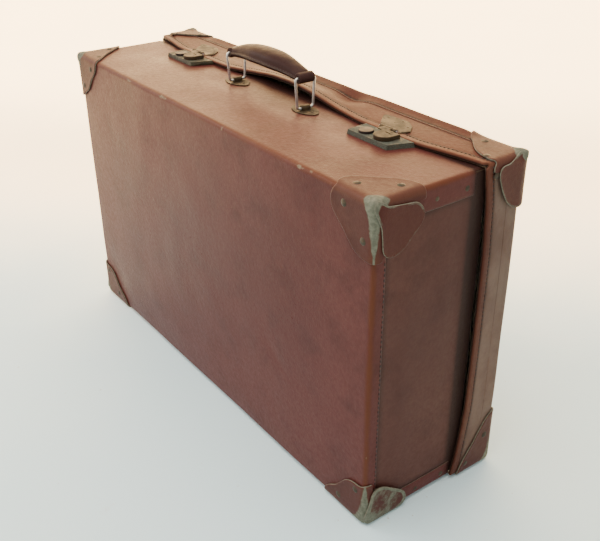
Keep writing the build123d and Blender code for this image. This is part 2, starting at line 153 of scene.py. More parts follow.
def corner_clear(p, half_x, top):
    """0 under the corner caps, 1 well away from them."""
    dx = half_x - abs(p.x)
    dz = min(top - p.z, p.z - FLOOR_Z)
    return fade((hypot(dx, dz) - CAP_REACH) / 50)


def base_shift(p, n):
    """How far the base's hide has moved at p, where it faces along n."""
    across = 1 - (p.x / BASE_X) ** 4
    upright = 1 - ((p.z - MID_Z) / HALF_Z) ** 4
    clear = corner_clear(p, BASE_X, BASE_TOP)
    front = 2.4 * across * upright + 0.9 * wobble(p, 120, 1) + 0.35 * wobble(p, 45, 5)
    # a pressed crease low on the front, and a thin one near its upper right
    front -= 0.9 * hump(p.x, 150, 16) * hump(p.z + 0.5 * p.x, 205, 5)
    front -= 0.5 * hump(p.x, 218 + 0.25 * (p.z - 300), 2.5) * hump(p.z, 318, 22)
    front *= max(-n.y, 0.0) * clear
    crown = 1.9 * hump(p.y, -32, 42) - 0.3 * fade((p.y - 2) / 22) + 0.5 * wobble(p, 60, 3)
    top_clear = away_from(p, base_metal, 26) * fade((BASE_X - abs(p.x) - 42) / 40)
    top = max(n.z, 0.0) * top_clear * crown * fade((RIM_Y - p.y) / 8)
    end = abs(n.x) * clear * fade((LIP_Y - 6 - p.y) / 20) * (0.9 * across + 0.5 * wobble(p, 80, 9))
    end += 1.3 * abs(n.x) * upright * fade((p.y - FRONT_Y - 20) / 30) * fade((LIP_Y - 8 - p.y) / 20)
    return Vector((copysign(end, n.x), -front, top))


def lid_shift(p, n):
    """The same for the lid: its lip has lifted and shifted, and its face has swelled."""
    near_lip = fade((SEAM_Y + 2 - p.y) / (SEAM_Y + 2 - LIP_Y - 3))
    across = 1 - (p.x / LID_X) ** 4
    upright = 1 - ((p.z - MID_Z) / HALF_Z) ** 4
    clear = corner_clear(p, LID_X, LID_TOP)
    shift = Vector()
    if n.z > 0.05:
        rise = soft_at(LIP_LIFT, p.x, 12) * near_lip
        rise -= 5.5 * hump(p.x, 76, 20) * hump(p.y, SEAM_Y - 4, 15)
        rise -= 1.6 * hump(p.x, -84, 26) * hump(p.y, SEAM_Y - 6, 14)
        rise += 0.5 * wobble(p, 55, 7) * away_from(p, lid_metal, 25) * fade((p.y - LIP_Y) / 14)
        rise += 3.2 * fade((p.y - SEAM_Y - 2) / 12)
        rise *= fade((LID_X - abs(p.x) - 45) / 30)
        pull = soft_at(LIP_PULL, p.x, 8) * near_lip
        shift += n.z * Vector((0, pull, rise))
    if abs(n.x) > 0.05:
        bow = soft_at(LIP_BOW, p.z, 10) * near_lip
        flare = 1.4 * upright * near_lip + clear * (1.2 * upright + 0.5 * wobble(p, 70, 11))
        shift += abs(n.x) * Vector((copysign(flare, n.x), bow, 0))
    if n.y > 0.05:
        swell = 4.5 * across * upright + 0.9 * wobble(p, 120, 13) + 0.35 * wobble(p, 45, 17)
        shift.y += n.y * swell * clear
    return shift


class Shell:
    """One half of the case: a box with rounded edges, open towards the other half."""

    def __init__(self, body, half_x, closed_y, mouth, top, shift):
        self.body, self.half_x, self.closed_y = body, half_x, closed_y
        self.mouth, self.top, self.shift = mouth, top, shift
        far = 1e4
        ys = (closed_y + EDGE_R, far) if mouth > 0 else (-far, closed_y - EDGE_R)
        self.core_low = Vector((-half_x + EDGE_R, ys[0], FLOOR_Z + EDGE_R))
        self.core_high = Vector((half_x - EDGE_R, ys[1], top - EDGE_R))

    def place(self, p, lift=0.0):
        """A point of the square box moved onto the rounded, worn one, and the direction outwards."""
        core = Vector([min(max(p[i], self.core_low[i]), self.core_high[i]) for i in range(3)])
        n = (p - core).normalized()
        skin = core + n * EDGE_R
        return skin + n * lift + self.shift(skin, n), n

    def edge_distance(self, p):
        """How far p is from the nearest of the box's edges."""
        gaps = [self.half_x - abs(p.x), abs(p.y - self.closed_y), min(self.top - p.z, p.z - FLOOR_Z)]
        return sorted(gaps)[1]


base = Shell("base", BASE_X, FRONT_Y, 1, BASE_TOP, base_shift)
lid = Shell("lid", LID_X, BACK_Y, -1, LID_TOP, lid_shift)


# -------- materials
class Graph:
    """A material's nodes, made a little shorter to write."""

    def __init__(self, name):
        self.mat = bpy.data.materials.new(name)
        self.mat.use_nodes = True
        self.tree = self.mat.node_tree
        self.shader = self.tree.nodes["Principled BSDF"]
        self.coords = self.add("TexCoord").outputs["Object"]

    def add(self, kind, **settings):
        node = self.tree.nodes.new("ShaderNode" + kind)
        for key, value in settings.items():
            setattr(node, key, value)
        return node

    def set(self, node, **values):
        for key, value in values.items():
            node.inputs[key.replace("_", " ")].default_value = value

    def put(self, socket, value):
        if isinstance(value, bpy.types.NodeSocket):
            self.tree.links.new(value, socket)
        elif socket.type == "RGBA" and len(value) == 3:
            socket.default_value = (*value, 1.0)
        else:
            socket.default_value = value

    def noise(self, scale, detail=3.0, roughness=0.55, stretch=None):
        node = self.add("TexNoise")
        where = self.coords
        if stretch:
            mapping = self.add("Mapping")
            self.put(mapping.inputs["Vector"], self.coords)
            self.set(mapping, Scale=stretch)
            where = mapping.outputs["Vector"]
        self.put(node.inputs["Vector"], where)
        self.set(node, Scale=scale, Detail=detail, Roughness=roughness)
        return node.outputs["Fac"]

    def cells(self, scale):
        node = self.add("TexVoronoi", feature="F1")
        self.put(node.inputs["Vector"], self.coords)
        self.set(node, Scale=scale)
        return node.outputs["Distance"]

    def math(self, operation, a, b=0.0, clamp=False):
        node = self.add("Math", operation=operation, use_clamp=clamp)
        self.put(node.inputs[0], a)
        self.put(node.inputs[1], b)
        return node.outputs["Value"]

    def plus(self, a, b, clamp=False):
        return self.math("ADD", a, b, clamp)

    def times(self, a, b):
        return self.math("MULTIPLY", a, b)

    def swing(self, value, size):
        """A noise value made to swing about 0."""
        return self.times(self.math("SUBTRACT", value, 0.5), size)

    def step(self, value, low, high, to_low=0.0, to_high=1.0):
        node = self.add("MapRange", interpolation_type="SMOOTHSTEP")
        self.put(node.inputs["Value"], value)
        self.set(node, From_Min=low, From_Max=high, To_Min=to_low, To_Max=to_high)
        return node.outputs["Result"]

    def mix(self, factor, a, b):
        node = self.add("Mix", data_type="RGBA", blend_type="MIX")
        self.put(node.inputs["Factor"], factor)
        for key, color in (("A", a), ("B", b)):
            self.put([s for s in node.inputs if s.name == key and s.type == "RGBA"][0], color)
        return [s for s in node.outputs if s.type == "RGBA"][0]

    def attribute(self, name):
        return self.add("Attribute", attribute_name=name).outputs["Fac"]

    def bump(self, height, distance, strength=1.0, under=None):
        node = self.add("Bump")
        self.set(node, Strength=strength, Distance=distance)
        self.put(node.inputs["Height"], height)
        if under is not None:
            self.put(node.inputs["Normal"], under)
        return node.outputs["Normal"]

    def finish(self, color, roughness, normal=None, metallic=None, **constants):
        self.put(self.shader.inputs["Base Color"], color)
        self.put(self.shader.inputs["Roughness"], roughness)
        if normal is not None:
            self.put(self.shader.inputs["Normal"], normal)
        if metallic is not None:
            self.put(self.shader.inputs["Metallic"], metallic)
        self.set(self.shader, **constants)
        return self.mat


# near-black painted shade for gaps, grooves and under the lid's lip
# pale painted light for the faces turned along x
PAINTED_END_LIGHT, PAINTED_SHADE = (0.23, 0.18, 0.14), (0.018, 0.011, 0.009)


def leather(name, body, pale, dark, warm, worn, rough, grain=1.0, tear=1.3, shine=0.1, bloom_and_end_light=0.0):
    """Old hide: cloudy colour, grain and fine scratches, warm rubbed edges and bare grey-tan scuffs.

    A piece's attributes say where it is rubbed and bare, where shade is painted into it, and, on faces turned
    along x, where painted light makes it paler.
    """
    g = Graph(name)
    cloud = g.noise(6.5, 3.0, 0.5)
    patch = g.noise(24.0, 4.0, 0.6)
    fine = g.noise(260.0, 3.0, 0.6)
    scratch = g.noise(70.0, 5.0, 0.7, stretch=(0.25, 1.0, 2.2))
    color = g.mix(g.step(cloud, 0.32, 0.68), body, pale)
    color = g.mix(g.step(patch, 0.45, 0.8, 0.0, 0.55), color, dark)
    color = g.mix(g.step(fine, 0.3, 0.75, 0.0, 0.22), color, dark)
    rub = g.plus(g.attribute("edge"), g.swing(patch, 0.9))
    color = g.mix(g.step(rub, 0.25, 1.0, 0.0, 0.9), color, warm)
    torn = g.swing(g.noise(55.0, 6.0, 0.72), tear)
    bare = g.step(g.plus(g.attribute("wear"), torn), 0.5, 0.72)
    color = g.mix(bare, color, g.mix(g.step(fine, 0.3, 0.7), worn, tuple(0.62 * c for c in worn)))
    # painted light: faces turned along x are mixed towards a pale tone, as if lit, most on the lid's ends
    if bloom_and_end_light:
        end_light = g.times(g.attribute("side"), g.step(patch, 0.3, 0.7, bloom_and_end_light, bloom_and_end_light * 0.6))
        color = g.mix(end_light, color, PAINTED_END_LIGHT)
    color = g.mix(g.step(scratch, 0.66, 0.72, 0.0, 0.35), color, pale)
    # painted shade: the colour is darkened towards near-black in gaps, grooves and under the lid's lip
    color = g.mix(g.step(g.attribute("painted_shade"), 0.0, 1.0, 0.0, 0.85), color, PAINTED_SHADE)
    roughness = g.step(cloud, 0.3, 0.7, rough - 0.05, rough + 0.07)
    roughness = g.plus(roughness, g.times(bare, 0.3), clamp=True)
    roughness = g.plus(roughness, g.step(fine, 0.2, 0.8, -0.05, 0.06), clamp=True)
    normal = g.bump(g.cells(820.0), 0.00016 * grain, 0.5)
    normal = g.bump(g.noise(180.0, 4.0, 0.6), 0.0005 * grain, 0.5, under=normal)
    normal = g.bump(g.noise(22.0, 3.0, 0.5), 0.0012, 0.35, under=normal)
    normal = g.bump(bare, -0.0001, 0.4, under=normal)
    return g.finish(color, roughness, normal, Specular_IOR_Level=shine)


def raw_edge(name, color, shade):
    """The cut edge of thick hide: fibrous, dry and greyish."""
    g = Graph(name)
    fibre = g.noise(420.0, 4.0, 0.7)
    mixed = g.mix(g.step(fibre, 0.3, 0.7), color, shade)
    mixed = g.mix(g.step(g.noise(45.0, 3.0), 0.45, 0.7, 0.0, 0.6), mixed, shade)
    return g.finish(mixed, g.step(fibre, 0.2, 0.8, 0.7, 0.9), g.bump(fibre, 0.0004, 0.6))


def old_metal(name, bright, tarnish, bloom_and_end_light, metallic, rough, bloom_amount):
    """Bright metal under brown tarnish, with a dull greenish or grey bloom in patches."""
    g = Graph(name)
    cloud = g.noise(85.0, 5.0, 0.65)
    fine = g.noise(700.0, 4.0, 0.7)
    color = g.mix(g.step(cloud, 0.3, 0.72), bright, tarnish)
    bloomed = g.step(g.noise(130.0, 5.0, 0.7), 0.62 - bloom_amount, 0.74 - bloom_amount)
    color = g.mix(bloomed, color, g.mix(g.step(fine, 0.3, 0.7), bloom_and_end_light, tarnish))
    metallic = g.step(bloomed, 0.0, 1.0, metallic, metallic * 0.25)
    roughness = g.plus(g.step(cloud, 0.3, 0.7, rough, rough + 0.15), g.times(bloomed, 0.3), clamp=True)
    normal = g.bump(g.plus(fine, cloud), 0.00012, 0.5)
    return g.finish(color, roughness, normal, metallic, Specular_IOR_Level=0.3)


def sheet_stuff(name, body, shade, scale, rough, stretch=None):
    """Board, paper or wood: two tones in streaks or specks."""
    g = Graph(name)
    streak = g.noise(scale, 6.0, 0.65, stretch=stretch)
    speck = g.noise(scale * 7, 3.0, 0.6)
    color = g.mix(g.step(streak, 0.3, 0.7), body, shade)
    color = g.mix(g.step(speck, 0.5, 0.75, 0.0, 0.4), color, shade)
    return g.finish(color, g.step(speck, 0.2, 0.8, rough - 0.06, rough + 0.06), g.bump(streak, 0.0003, 0.5))


def lining_stuff(name, body, stripe):
    """A papered lining cloth with a fine woven check and a few stains."""
    g = Graph(name)
    wave = []
    for axis in ("X", "Z"):
        node = g.add("TexWave", wave_type="BANDS", bands_direction=axis)
        g.put(node.inputs["Vector"], g.coords)
        g.set(node, Scale=260.0)
        wave.append(node.outputs["Fac"])
    weave = g.times(*wave)
    color = g.mix(g.step(weave, 0.2, 0.8, 0.0, 0.5), body, stripe)
    color = g.mix(g.step(g.noise(9.0, 4.0), 0.5, 0.8, 0.0, 0.5), color, stripe)
    return g.finish(color, g.step(weave, 0.0, 1.0, 0.8, 0.9), g.bump(weave, 0.0002, 0.6))


RED_BROWN, PALE_BROWN, DARK_BROWN = (0.080, 0.0187, 0.0152), (0.104, 0.0305, 0.0255), (0.049, 0.011, 0.0092)
ORANGE_BROWN, BARE = (0.115, 0.036, 0.0165), (0.22, 0.165, 0.105)
M_HIDE = leather("case_hide", RED_BROWN, PALE_BROWN, DARK_BROWN, ORANGE_BROWN, BARE, 0.36, shine=0.09)
# painted light: the lid's ends are mixed towards a pale tone as if lit, and the base's end panels a little
M_LID = leather(
    "lid_hide", (0.074, 0.019, 0.0135), (0.095, 0.0285, 0.0195), (0.046, 0.0112, 0.0085), ORANGE_BROWN, BARE,
    0.42, shine=0.05, bloom_and_end_light=0.5,
)
M_END = leather(
    "end_hide", (0.067, 0.0186, 0.0142), (0.09, 0.031, 0.0235), (0.041, 0.0115, 0.0092), (0.08, 0.024, 0.013),
    BARE, 0.46, bloom_and_end_light=0.05,
)
M_CAP = leather(
    "cap_hide_worn", (0.068, 0.0165, 0.0122), (0.083, 0.027, 0.0195), (0.04, 0.011, 0.0088), (0.11, 0.042, 0.025),
    (0.165, 0.165, 0.12), 0.42, tear=0.9,
)
M_BINDING = leather(
    "lip_binding_hide", (0.078, 0.023, 0.0145), (0.1, 0.035, 0.021), (0.048, 0.0135, 0.009), (0.125, 0.042, 0.022),
    (0.22, 0.13, 0.08), 0.48, grain=0.6,
)
M_GRIP = leather(
    "grip_hide_dark", (0.031, 0.0118, 0.0098), (0.046, 0.0225, 0.0195), (0.016, 0.0075, 0.0062),
    (0.046, 0.025, 0.019), (0.16, 0.14, 0.11), 0.42, grain=0.7, tear=0.9, shine=0.05,
)
M_RAW = raw_edge("raw_hide_edge", (0.19, 0.175, 0.125), (0.10, 0.085, 0.055))
M_RAW_DARK = raw_edge("raw_hide_edge_dark", (0.10, 0.055, 0.035), (0.05, 0.03, 0.02))
M_THREAD = sheet_stuff("waxed_thread", (0.014, 0.008, 0.006), (0.03, 0.016, 0.011), 500.0, 0.7)
M_BOARD = sheet_stuff("fibre_board", (0.21, 0.13, 0.07), (0.12, 0.07, 0.04), 120.0, 0.85)
M_WOOD = sheet_stuff("batten_wood", (0.42, 0.26, 0.13), (0.27, 0.15, 0.07), 60.0, 0.6, stretch=(0.15, 2.0, 1.0))
M_LINING = lining_stuff("lining_cloth", (0.47, 0.40, 0.29), (0.36, 0.29, 0.20))
# bright, tarnished and bloomed colour, how metallic, roughness, amount of bloom
M_BRASS, M_PLATE, M_LOCK_L, M_LOCK_R, M_RIVET, M_KNOB, M_STEEL = (old_metal(*look) for look in (
    ("tarnished_brass", (0.072, 0.045, 0.02), (0.034, 0.022, 0.011), (0.05, 0.041, 0.023), 0.35, 0.5, 0.08),
    ("handle_plate_brass", (0.068, 0.041, 0.018), (0.032, 0.02, 0.01), (0.048, 0.037, 0.021), 0.35, 0.5, 0.08),
    ("lock_brass_olive", (0.08, 0.066, 0.038), (0.042, 0.034, 0.02), (0.07, 0.07, 0.045), 0.3, 0.48, 0.16),
    ("lock_brass_verdigris", (0.08, 0.072, 0.05), (0.048, 0.043, 0.031), (0.08, 0.09, 0.068), 0.25, 0.5, 0.24),
    ("rivet_green_brass", (0.07, 0.046, 0.026), (0.034, 0.023, 0.015), (0.052, 0.052, 0.034), 0.4, 0.42, 0.14),
    ("dark_knob_metal", (0.034, 0.021, 0.018), (0.018, 0.011, 0.01), (0.03, 0.021, 0.017), 0.4, 0.4, 0.04),
    ("bail_steel", (0.78, 0.78, 0.74), (0.45, 0.43, 0.38), (0.26, 0.22, 0.15), 0.88, 0.24, -0.03),
))


# -------- making pieces
def place_new(name, data):
    """A new object in the scene."""
    obj = bpy.data.objects.new(name, data)
    bpy.context.scene.collection.objects.link(obj)
    return obj


def build(name, points, faces, normals, mat, body, slot, edges=None, wear=None, painted_shade=None):
    """A smooth mesh whose faces look the way the normals point, riding on a body."""
    fixed = []
    for face in faces:
        a, b, c = (points[i] for i in (face[0], face[1], face[-2] if len(face) > 3 else face[2]))
        facing = (b - a).cross(c - a)
        wanted = sum((normals[i] for i in face), Vector())
        fixed.append(tuple(reversed(face)) if facing.dot(wanted) < 0 else tuple(face))
    mesh = bpy.data.meshes.new(name)
    mesh.from_pydata([p * MM for p in points], [], fixed)
    # how far each point faces along x, for the painted light on the ends
    side = [min(abs(n.x) ** 2, 1.0) for n in normals]
    for key, values in (("edge", edges), ("wear", wear), ("painted_shade", painted_shade), ("side", side)):
        if values is not None:
            mesh.attributes.new(key, "FLOAT", "POINT").data.foreach_set("value", values)
    mesh.shade_smooth()
    mesh.update()
    obj = place_new(name, mesh)
    for m in mat if isinstance(mat, (list, tuple)) else [mat]:
        mesh.materials.append(m)
    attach(obj, body)
    return obj


def thicken(obj, thickness, rim=0, level=1):
    """Gives a sheet its thickness, inwards, with the material numbered rim on its cut edges."""
    mod = obj.modifiers.new("thickness", "SOLIDIFY")
    mod.thickness, mod.offset, mod.use_even_offset = thickness * MM, -1.0, False
    mod.material_offset_rim = rim
    sub = obj.modifiers.new("smooth", "SUBSURF")
    sub.levels = sub.render_levels = level
    return obj


def shell_sheet(name, shell, lines, sheets, keep, lift, mats, slot, thickness, wear=None, painted_shade=None, level=1):
    """A sheet over some faces of a shell, on a grid through the given lines, without the cells keep() drops."""
    xs, ys, zs = lines
    found, points, normals, flat, faces = {}, [], [], [], []

    def vertex(p):
        key = tuple(round(c, 3) for c in p)
        if key not in found:
            found[key] = len(points)
            where, n = shell.place(p, lift(p))
            points.append(where)
            normals.append(n)
            flat.append(p)
        return found[key]

    grids = {
        "closed": (xs, zs, lambda a, b: Vector((a, shell.closed_y, b))),
        "top": (xs, ys, lambda a, b: Vector((a, b, shell.top))),
        "bottom": (xs, ys, lambda a, b: Vector((a, b, FLOOR_Z))),
        "left": (ys, zs, lambda a, b: Vector((-shell.half_x, a, b))),
        "right": (ys, zs, lambda a, b: Vector((shell.half_x, a, b))),
    }
    for sheet in sheets:
        us, vs, corner = grids[sheet]
        for u0, u1 in zip(us, us[1:]):
            for v0, v1 in zip(vs, vs[1:]):
                if keep(sheet, corner((u0 + u1) / 2, (v0 + v1) / 2)):
                    faces.append([vertex(corner(*c)) for c in ((u0, v0), (u1, v0), (u1, v1), (u0, v1))])
    looks = [[look(p) for p in flat] if look else None for look in (wear, painted_shade)]
    edges = [0.85 * fade(1 - shell.edge_distance(p) / 9) for p in flat]
    obj = build(name, points, faces, normals, mats, shell.body, slot, edges, *looks)
    return thicken(obj, thickness, 1 if len(mats) > 1 else 0, level)


ROUND_MARKS = (0.0, 0.3, 0.62, 1.0, 1.35)  # lines across a rounded edge, in radii from its side
GRID = 7.5


def rounding(low, high):
    """Grid lines across the rounded edges at both ends of a span."""
    return [low + EDGE_R * m for m in ROUND_MARKS] + [high - EDGE_R * m for m in ROUND_MARKS]


window_z = (FLOOR_Z + BOTTOM_FLANGE, BASE_TOP - TOP_FLANGE)
base_ys = [FRONT_Y + EDGE_R * m for m in ROUND_MARKS]
base_ys += [FRONT_Y + FRONT_FLANGE, TOP_FLANGE_END, BOTTOM_FLANGE_END]
base_ys += [LIP_Y - HINGE_CLEAR, LIP_Y, LIP_Y + 4, RIM_Y]
base_lines = (
    spread(rounding(-BASE_X, BASE_X), GRID),
    spread(base_ys, GRID),
    spread(rounding(FLOOR_Z, BASE_TOP) + list(window_z), GRID),
)


def base_keep(sheet, c):
    """The base's hide is turned onto the ends in flanges, and leaves a window between them."""
    if sheet in ENDS:
        if window_z[0] < c.z < window_z[1]:
            return c.y < FRONT_Y + FRONT_FLANGE
        return c.y < (TOP_FLANGE_END if c.z > MID_Z else BOTTOM_FLANGE_END)
    if sheet == "bottom":
        return c.y < LIP_Y - HINGE_CLEAR
    return True


def skived(p):
    """The hide is pared thin where it runs under the lid."""
    return -0.7 * fade((p.y - LIP_Y + 1) / 5)


def base_wear(p):
    """Bare hide: the rubbed upright corners, a few knocks along the top front edge, and the bottom edges."""
    dx, dy, top, low = BASE_X - abs(p.x), p.y - FRONT_Y, BASE_TOP - p.z, p.z - FLOOR_Z
    value = 0.42 * rub(dx, dy, 3.5)
    value += 0.42 * rub(dy, top, 6, 1.1)
    value += 0.30 * rub(dx, top, 6)
    value += 0.45 * rub(dy, low, 8) + 0.45 * rub(dx, low, 9)
    for x, z, size in ((-152, 4, 7), (-60, 9, 9), (-72, 3, 6), (58, 6, 5), (196, 3, 6)):
        value += 0.5 * hump(p.x, x, size) * hump(top, z, 4) * hump(dy, 0, 5)
    return min(value, 1.0)


def base_painted_shade(p):
    """Painted shade along and under the lid's lip, on the top and the ends."""
    return 0.8 * fade((p.y - LIP_Y + 7) / 8) if p.z > BASE_TOP - 1 or abs(p.x) > BASE_X - 1 else 0.0


base_hide = shell_sheet(
    "base_hide", base, base_lines, ALL_SHEETS, base_keep, skived, [M_HIDE, M_RAW_DARK], "hide", HIDE_T,
    base_wear, base_painted_shade,
)
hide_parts("base_wrap_leather")

end_ys = spread([FRONT_Y + 9, FRONT_Y + FRONT_FLANGE, TOP_FLANGE_END, LIP_Y, RIM_Y], GRID)
end_zs = spread([FLOOR_Z + 4, *window_z, BASE_TOP - EDGE_R, BASE_TOP - EDGE_R * 0.6, BASE_TOP - 2], GRID)


def end_painted_shade(p):
    """Painted shadow beside the turned flanges' edges, and painted shade deep under the lid's lip."""
    gap = min(p.y - FRONT_Y - FRONT_FLANGE, window_z[1] - p.z, p.z - window_z[0])
    return max(0.55 * fade(1 - gap / 5), 0.9 * fade((p.y - LIP_Y + 12) / 16))


# depths under the case's outer face, and thicknesses
END_PANEL_DEPTH, BOARD_DEPTH, LINING_DEPTH = 1.1, 1.7, 4.3
BOARD_T, SHEET_T = 2.4, 0.4

for side in SIDES:
    panel = shell_sheet(
        "base_end_panel_" + side, base, ([], end_ys, end_zs), (side,), lambda sheet, c: True,
        lambda p: -END_PANEL_DEPTH, [M_END, M_RAW_DARK], "hide", SHEET_T, None, end_painted_shade,
    )
    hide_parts("base_end_leather_" + side)

lid_xs = spread(rounding(-LID_X, LID_X), GRID)
lid_zs = spread(rounding(FLOOR_Z, LID_TOP), GRID)
round_ys = [BACK_Y - EDGE_R * m for m in ROUND_MARKS]
LID_GRID = 6.0
BINDING_EDGE = LIP_Y + 8.6  # where the folded binding ends on the band
band_ys = spread([LIP_Y, LIP_Y + HINGE_CLEAR, LIP_Y + 6.2, LIP_Y + 7.4, BINDING_EDGE, SEAM_Y + 3], LID_GRID)
face_ys = spread([SEAM_Y + dy for dy in (-1.6, -0.8, 0.6, 1.6, 2.6)] + round_ys, LID_GRID)


def lid_keep(sheet, c):
    """The lid's underside starts behind the hinges."""
    return sheet != "bottom" or c.y > LIP_Y + HINGE_CLEAR


def band_lift(p):
    """The band is pressed in along the binding's edge."""
    return -0.55 * hump(p.y, BINDING_EDGE, 0.9)


def band_painted_shade(p):
    """Painted shade along the binding's edge, and along the band where the face hide laps over it at the seam."""
    return 0.9 * hump(p.y, BINDING_EDGE + 0.6, 1.5) + 0.7 * on_top(p) * fade((p.y - SEAM_Y + 3) / 4)


def on_top(p):
    """1 along the top and the underside, 0 on the ends, where the seam is pressed flat."""
    return fade((LID_X - abs(p.x)) / 14)


# painted shade in the groove under the seam's stitches, along the top and the underside
def face_painted_shade(p):
    return on_top(p) * hump(p.y, SEAM_STITCH_Y, 1.3)


def face_lift(p):
    """The face hide laps over the band at the seam, with a groove under the stitches."""
    groove = 0.65 * on_top(p) * hump(p.y, SEAM_STITCH_Y, 0.8)
    return (0.3 + 0.45 * on_top(p)) * fade((SEAM_Y + 8 - p.y) / 6) - groove


def lid_wear(p):
    """Bare hide along the lid's edges, most along the bottom ones."""
    dx, dy, top, low = LID_X - abs(p.x), BACK_Y - p.y, LID_TOP - p.z, p.z - FLOOR_Z
    value = 0.38 * rub(dx, dy, 4) + 0.32 * rub(dy, top, 6)
    value += 0.36 * rub(dx, top, 6) + 0.5 * rub(dy, low, 8)
    return min(value + 0.5 * rub(dx, low, 8), 1.0)


lid_band = shell_sheet(
    "lid_band_hide", lid, (lid_xs, band_ys, lid_zs), ("top", "bottom", *ENDS), lid_keep, band_lift,
    [M_LID, M_RAW_DARK], "hide", HIDE_T, lid_wear, band_painted_shade,
)
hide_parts("lid_band_leather")
lid_face = shell_sheet(
    "lid_face_hide", lid, (lid_xs, face_ys, lid_zs), ALL_SHEETS, lid_keep, face_lift,
    [M_LID, M_RAW_DARK], "hide", HIDE_T, lid_wear, face_painted_shade,
)
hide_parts("lid_face_leather")

board_ys = spread([LIP_Y + 0.6, LIP_Y + HINGE_CLEAR, SEAM_Y] + round_ys, 9.0)
lid_boards = shell_sheet(
    "lid_boards", lid, (lid_xs, board_ys, lid_zs), ALL_SHEETS, lid_keep, lambda p: -BOARD_DEPTH,
    [M_BOARD], "board", BOARD_T, level=0,
)
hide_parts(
    "lid_face_board", "lid_top_board", "lid_bottom_board", "lid_end_board_left", "lid_end_board_right",
)
lid_lining = shell_sheet(
    "lid_lining_cloth", lid, (lid_xs, board_ys[1:], lid_zs), ALL_SHEETS, lid_keep, lambda p: -LINING_DEPTH,
    [M_LINING], "lining", SHEET_T, level=0,
)
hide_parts("lid_lining")


# -------- paths round the lid, stitches and the lip's binding
def lid_ring(y, low_z, step=3.0):
    """Points of the square box up one end, along the top and down the other end, at one y."""
    up = spread([low_z] + [z for z in rounding(FLOOR_Z, LID_TOP) if z > LID_TOP / 2], step)
    along = spread(rounding(-LID_X, LID_X), step)
    ring = [Vector((-LID_X, y, z)) for z in up]
    ring += [Vector((x, y, LID_TOP)) for x in along[1:]]
    return ring + [Vector((LID_X, y, z)) for z in reversed(up[:-1])]


def tube_grid(rows, columns, closed_rows=False, closed_columns=False):
    """The four-sided faces between rows of points, closed into rings along either way."""
    faces = []
    for i in range(rows - (0 if closed_columns else 1)):
        for j in range(columns - (0 if closed_rows else 1)):
            a, b = (i + 1) % rows, (j + 1) % columns
            faces.append((i * columns + j, i * columns + b, a * columns + b, a * columns + j))
    return faces


def make_binding():
    """The strip folded over the lid's lip, from sections of (y from the lip, height over the band)."""
    over = [(9.2, -0.1), (8.8, 0.45), (8.0, 0.6), (7.2, 0.1), (6.4, 0.65), (3.0, 0.8), (0.6, 0.85)]
    front = [(-0.4, 0.5), (-0.8, -0.4), (-0.8, -2.4), (-0.4, -3.3)]
    under = [(1.2, -3.7), (4.0, -3.65)]
    section = over + front + under
    ring = lid_ring(0.0, FLOOR_Z + 2.5, 5.0)
    points, normals, edges, wear, painted_shade = [], [], [], [], []
    for p in ring:
        for i, (dy, lift) in enumerate(section):
            where, n = lid.place(Vector((p.x, LIP_Y + dy, p.z)), lift)
            points.append(where)
            normals.append(n if i < len(over) else Vector((0, -1, 0)) if i < len(over) + len(front) else -n)
            edges.append(0.75 if 5 <= i <= 8 and abs(n.z) > 0.5 else 0.15)
            wear.append(0.2 if 5 <= i <= 7 else 0.0)
            # painted shade: the binding's edge and the groove between its ridges, and its lower front and
            # underside under the lip
            painted_shade.append(0.8 if i in (0, 3) else 0.0 if i < 9 else 0.9)
    obj = build(
        "lid_lip_binding_strip", points, tube_grid(len(ring), len(section)), normals, [M_BINDING, M_RAW_DARK],
        "lid", "hide_edge", edges, wear, painted_shade,
    )
    thicken(obj, BINDING_T, 1)
    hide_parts("lid_lip_binding")


make_binding()


def stitches(name, path, body, length=3.2, gap=1.5, radius=0.5, skip=None):
    """Short threads laid end to end along a path of (point, normal)."""
    points, faces, normals = [], [], []
    profile = ((-1.0, 0.0), (-0.8, 0.75), (-0.3, 1.0), (0.3, 1.0), (0.8, 0.75), (1.0, 0.0))
    sides = 6
    walked, start = 0.0, 0.0
    for (a, na), (b, nb) in zip(path, path[1:]):
        run = (b - a).length
        while start + length / 2 <= walked + run:
            t = (start + length / 2 - walked) / run
            middle, n = a.lerp(b, t), na.lerp(nb, t).normalized()
            start += length + gap
            if skip and skip(middle):
                continue
            along = (b - a).normalized()
            cross = n.cross(along)
            first = len(points)
            for u, size in profile:
                for k in range(sides):
                    turn = 2 * pi * k / sides
                    out = cross * cos(turn) + n * sin(turn)
                    sink = n * (-0.25 * abs(u) ** 3)
                    points.append(middle + along * (u * length / 2) + out * (radius * max(size, 0.05)) + sink)
                    normals.append(out)
            faces += [tuple(first + i for i in f) for f in tube_grid(len(profile), sides, True)]
        walked += run
    return build(name, points, faces, normals, M_THREAD, body, "hide_edge")


def lid_row(y, lift):
    """A path for stitches round the lid, at one y."""
    return [lid.place(Vector((p.x, y, p.z)), lift) for p in lid_ring(y, FLOOR_Z + 30)]


def under_hasps(p):
    return p.z > LID_TOP - 4 and not away_from(p, lid_metal, 3)


stitches(
    "lid_seam_stitches", lid_row(SEAM_STITCH_Y, 0.3), "lid", radius=0.6, skip=lambda p: abs(p.x) > LID_X - 8,
)
stitches("lid_lip_stitches", lid_row(LIP_STITCH_Y, 0.5), "lid", radius=0.6, skip=under_hasps)
for side, sign in SIDES.items():
    column = [Vector((sign * BASE_X, BASE_STITCH_Y, z)) for z in spread([FLOOR_Z + 46, BASE_TOP - 60], 4.0)]
    path = [base.place(p, 0.05) for p in column]
    stitches("base_seam_stitches_" + side, path, "base", length=3.6, gap=1.8, radius=0.55)


